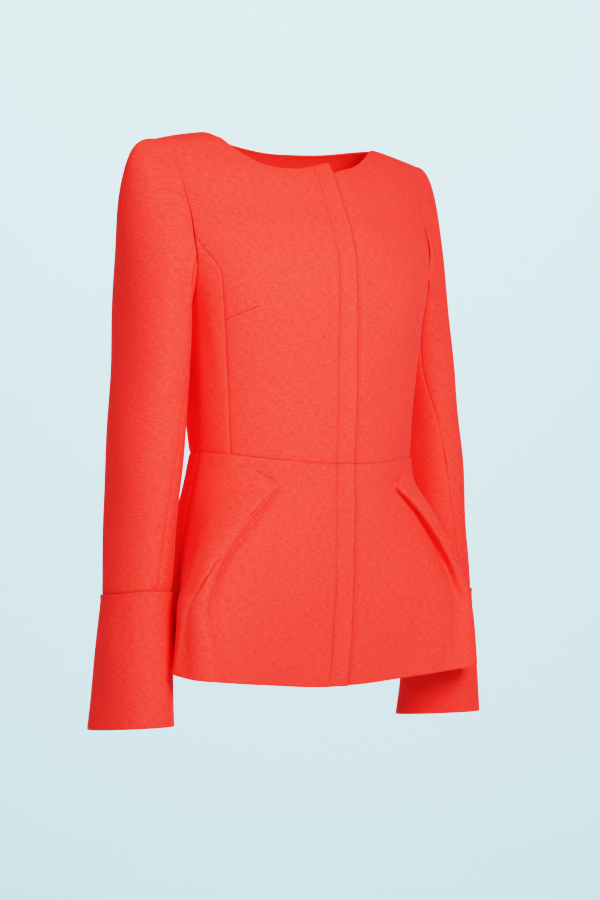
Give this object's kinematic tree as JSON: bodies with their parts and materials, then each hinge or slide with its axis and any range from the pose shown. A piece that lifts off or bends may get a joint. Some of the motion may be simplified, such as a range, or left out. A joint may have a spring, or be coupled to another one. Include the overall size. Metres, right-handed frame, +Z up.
{
  "type": "jacket",
  "caption": "Collarless fitted jacket with princess seams, hidden front closing, folded peplum and long sleeves with deep flared cuffs; hollow, in its worn form.",
  "frame": {"origin": "middle of the neck opening, at the height of the neck ends of the shoulder seams, where the jacket is held", "axes": "+Z up along the body, -Y out of the front, +X to the wearer's left"},
  "size_m": [0.5074, 0.2187, 0.6597],
  "materials": {
    "crepe": "matt"
  },
  "bodies": {
    "root": {"front_right": "crepe", "front_left": "crepe", "band_bodice": "crepe", "band_peplum": "crepe", "side_right": "crepe", "side_left": "crepe", "back": "crepe", "peplum_front_right": "crepe", "peplum_front_left": "crepe", "peplum_back": "crepe", "sleeve_top_right": "crepe", "sleeve_top_left": "crepe", "sleeve_under_right": "crepe", "sleeve_under_left": "crepe", "cuff_right": "crepe", "cuff_left": "crepe"}
  },
  "joints": []
}
